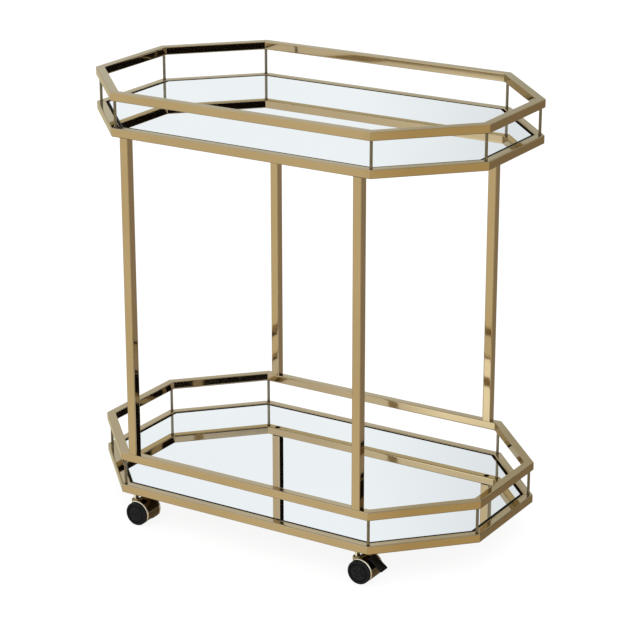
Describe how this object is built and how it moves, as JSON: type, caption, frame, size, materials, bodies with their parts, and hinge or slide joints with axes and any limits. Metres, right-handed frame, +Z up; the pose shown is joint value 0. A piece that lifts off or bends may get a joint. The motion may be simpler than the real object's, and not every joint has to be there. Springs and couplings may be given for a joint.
{
  "type": "bar cart",
  "caption": "Two-tier bar cart with eight-sided mirrored trays, gallery rails, four square legs and swivelling hooded casters.",
  "frame": {"origin": "on the floor, under the centre of the cart's plan", "axes": "+Z up, +X along the length towards the end with the brake pedals, -Y towards the front long side"},
  "size_m": [0.77, 0.511, 0.769],
  "materials": {
    "gold": "polished",
    "gold_hood": "polished",
    "mirror": "polished",
    "board": "matte",
    "steel": "satin",
    "black": "satin",
    "black_pedal": "gloss"
  },
  "bodies": {
    "cart": {"lower_frame": "gold", "lower_rail": "gold", "lower_mirror": "mirror", "lower_backing_board": "board", "lower_post_1": "gold", "lower_post_2": "gold", "lower_post_3": "gold", "lower_post_4": "gold", "lower_post_5": "gold", "lower_post_6": "gold", "lower_post_7": "gold", "lower_post_8": "gold", "upper_frame": "gold", "upper_rail": "gold", "upper_mirror": "mirror", "upper_backing_board": "board", "upper_post_1": "gold", "upper_post_2": "gold", "upper_post_3": "gold", "upper_post_4": "gold", "upper_post_5": "gold", "upper_post_6": "gold", "upper_post_7": "gold", "upper_post_8": "gold", "leg_front_left": "gold", "leg_bolt_front_left": "steel", "caster_nut_front_left": "steel", "caster_stem_front_left": "gold", "leg_front_right": "gold", "leg_bolt_front_right": "steel", "caster_nut_front_right": "steel", "caster_stem_front_right": "gold", "leg_rear_left": "gold", "leg_bolt_rear_left": "steel", "caster_nut_rear_left": "steel", "caster_stem_rear_left": "gold", "leg_rear_right": "gold", "leg_bolt_rear_right": "steel", "caster_nut_rear_right": "steel", "caster_stem_rear_right": "gold"},
    "swivel_front_left": {"caster_hood_front_left": "gold_hood", "caster_axle_front_left": "steel"},
    "wheel_front_left_1": {"caster_wheel_front_left_1": "black"},
    "wheel_front_left_2": {"caster_wheel_front_left_2": "black"},
    "swivel_front_right": {"caster_hood_front_right": "gold_hood", "caster_axle_front_right": "steel"},
    "wheel_front_right_1": {"caster_wheel_front_right_1": "black"},
    "wheel_front_right_2": {"caster_wheel_front_right_2": "black"},
    "pedal_front_right": {"brake_pedal_front_right": "black_pedal"},
    "swivel_rear_left": {"caster_hood_rear_left": "gold_hood", "caster_axle_rear_left": "steel"},
    "wheel_rear_left_1": {"caster_wheel_rear_left_1": "black"},
    "wheel_rear_left_2": {"caster_wheel_rear_left_2": "black"},
    "swivel_rear_right": {"caster_hood_rear_right": "gold_hood", "caster_axle_rear_right": "steel"},
    "wheel_rear_right_1": {"caster_wheel_rear_right_1": "black"},
    "wheel_rear_right_2": {"caster_wheel_rear_right_2": "black"},
    "pedal_rear_right": {"brake_pedal_rear_right": "black_pedal"}
  },
  "joints": [
    {"name": "front_left_swivel", "type": "hinge", "parent": "cart", "child": "swivel_front_left", "pos_m": [-0.226, -0.231, 0.035], "axis": [0, 0, 1], "continuous": true},
    {"name": "front_left_wheel_1_roll", "type": "hinge", "parent": "swivel_front_left", "child": "wheel_front_left_1", "pos_m": [-0.211, -0.248, 0.021], "axis": [0, 1, 0], "continuous": true},
    {"name": "front_left_wheel_2_roll", "type": "hinge", "parent": "swivel_front_left", "child": "wheel_front_left_2", "pos_m": [-0.211, -0.214, 0.021], "axis": [0, 1, 0], "continuous": true},
    {"name": "front_right_swivel", "type": "hinge", "parent": "cart", "child": "swivel_front_right", "pos_m": [0.226, -0.231, 0.035], "axis": [0, 0, 1], "continuous": true},
    {"name": "front_right_wheel_1_roll", "type": "hinge", "parent": "swivel_front_right", "child": "wheel_front_right_1", "pos_m": [0.241, -0.248, 0.021], "axis": [0, 1, 0], "continuous": true},
    {"name": "front_right_wheel_2_roll", "type": "hinge", "parent": "swivel_front_right", "child": "wheel_front_right_2", "pos_m": [0.241, -0.214, 0.021], "axis": [0, 1, 0], "continuous": true},
    {"name": "front_right_brake", "type": "hinge", "parent": "swivel_front_right", "child": "pedal_front_right", "pos_m": [0.245, -0.231, 0.033], "axis": [0, 1, 0], "range_deg": [0, 8]},
    {"name": "rear_left_swivel", "type": "hinge", "parent": "cart", "child": "swivel_rear_left", "pos_m": [-0.226, 0.231, 0.035], "axis": [0, 0, 1], "continuous": true},
    {"name": "rear_left_wheel_1_roll", "type": "hinge", "parent": "swivel_rear_left", "child": "wheel_rear_left_1", "pos_m": [-0.211, 0.214, 0.021], "axis": [0, 1, 0], "continuous": true},
    {"name": "rear_left_wheel_2_roll", "type": "hinge", "parent": "swivel_rear_left", "child": "wheel_rear_left_2", "pos_m": [-0.211, 0.248, 0.021], "axis": [0, 1, 0], "continuous": true},
    {"name": "rear_right_swivel", "type": "hinge", "parent": "cart", "child": "swivel_rear_right", "pos_m": [0.226, 0.231, 0.035], "axis": [0, 0, 1], "continuous": true},
    {"name": "rear_right_wheel_1_roll", "type": "hinge", "parent": "swivel_rear_right", "child": "wheel_rear_right_1", "pos_m": [0.241, 0.214, 0.021], "axis": [0, 1, 0], "continuous": true},
    {"name": "rear_right_wheel_2_roll", "type": "hinge", "parent": "swivel_rear_right", "child": "wheel_rear_right_2", "pos_m": [0.241, 0.248, 0.021], "axis": [0, 1, 0], "continuous": true},
    {"name": "rear_right_brake", "type": "hinge", "parent": "swivel_rear_right", "child": "pedal_rear_right", "pos_m": [0.245, 0.231, 0.033], "axis": [0, 1, 0], "range_deg": [0, 8]}
  ]
}
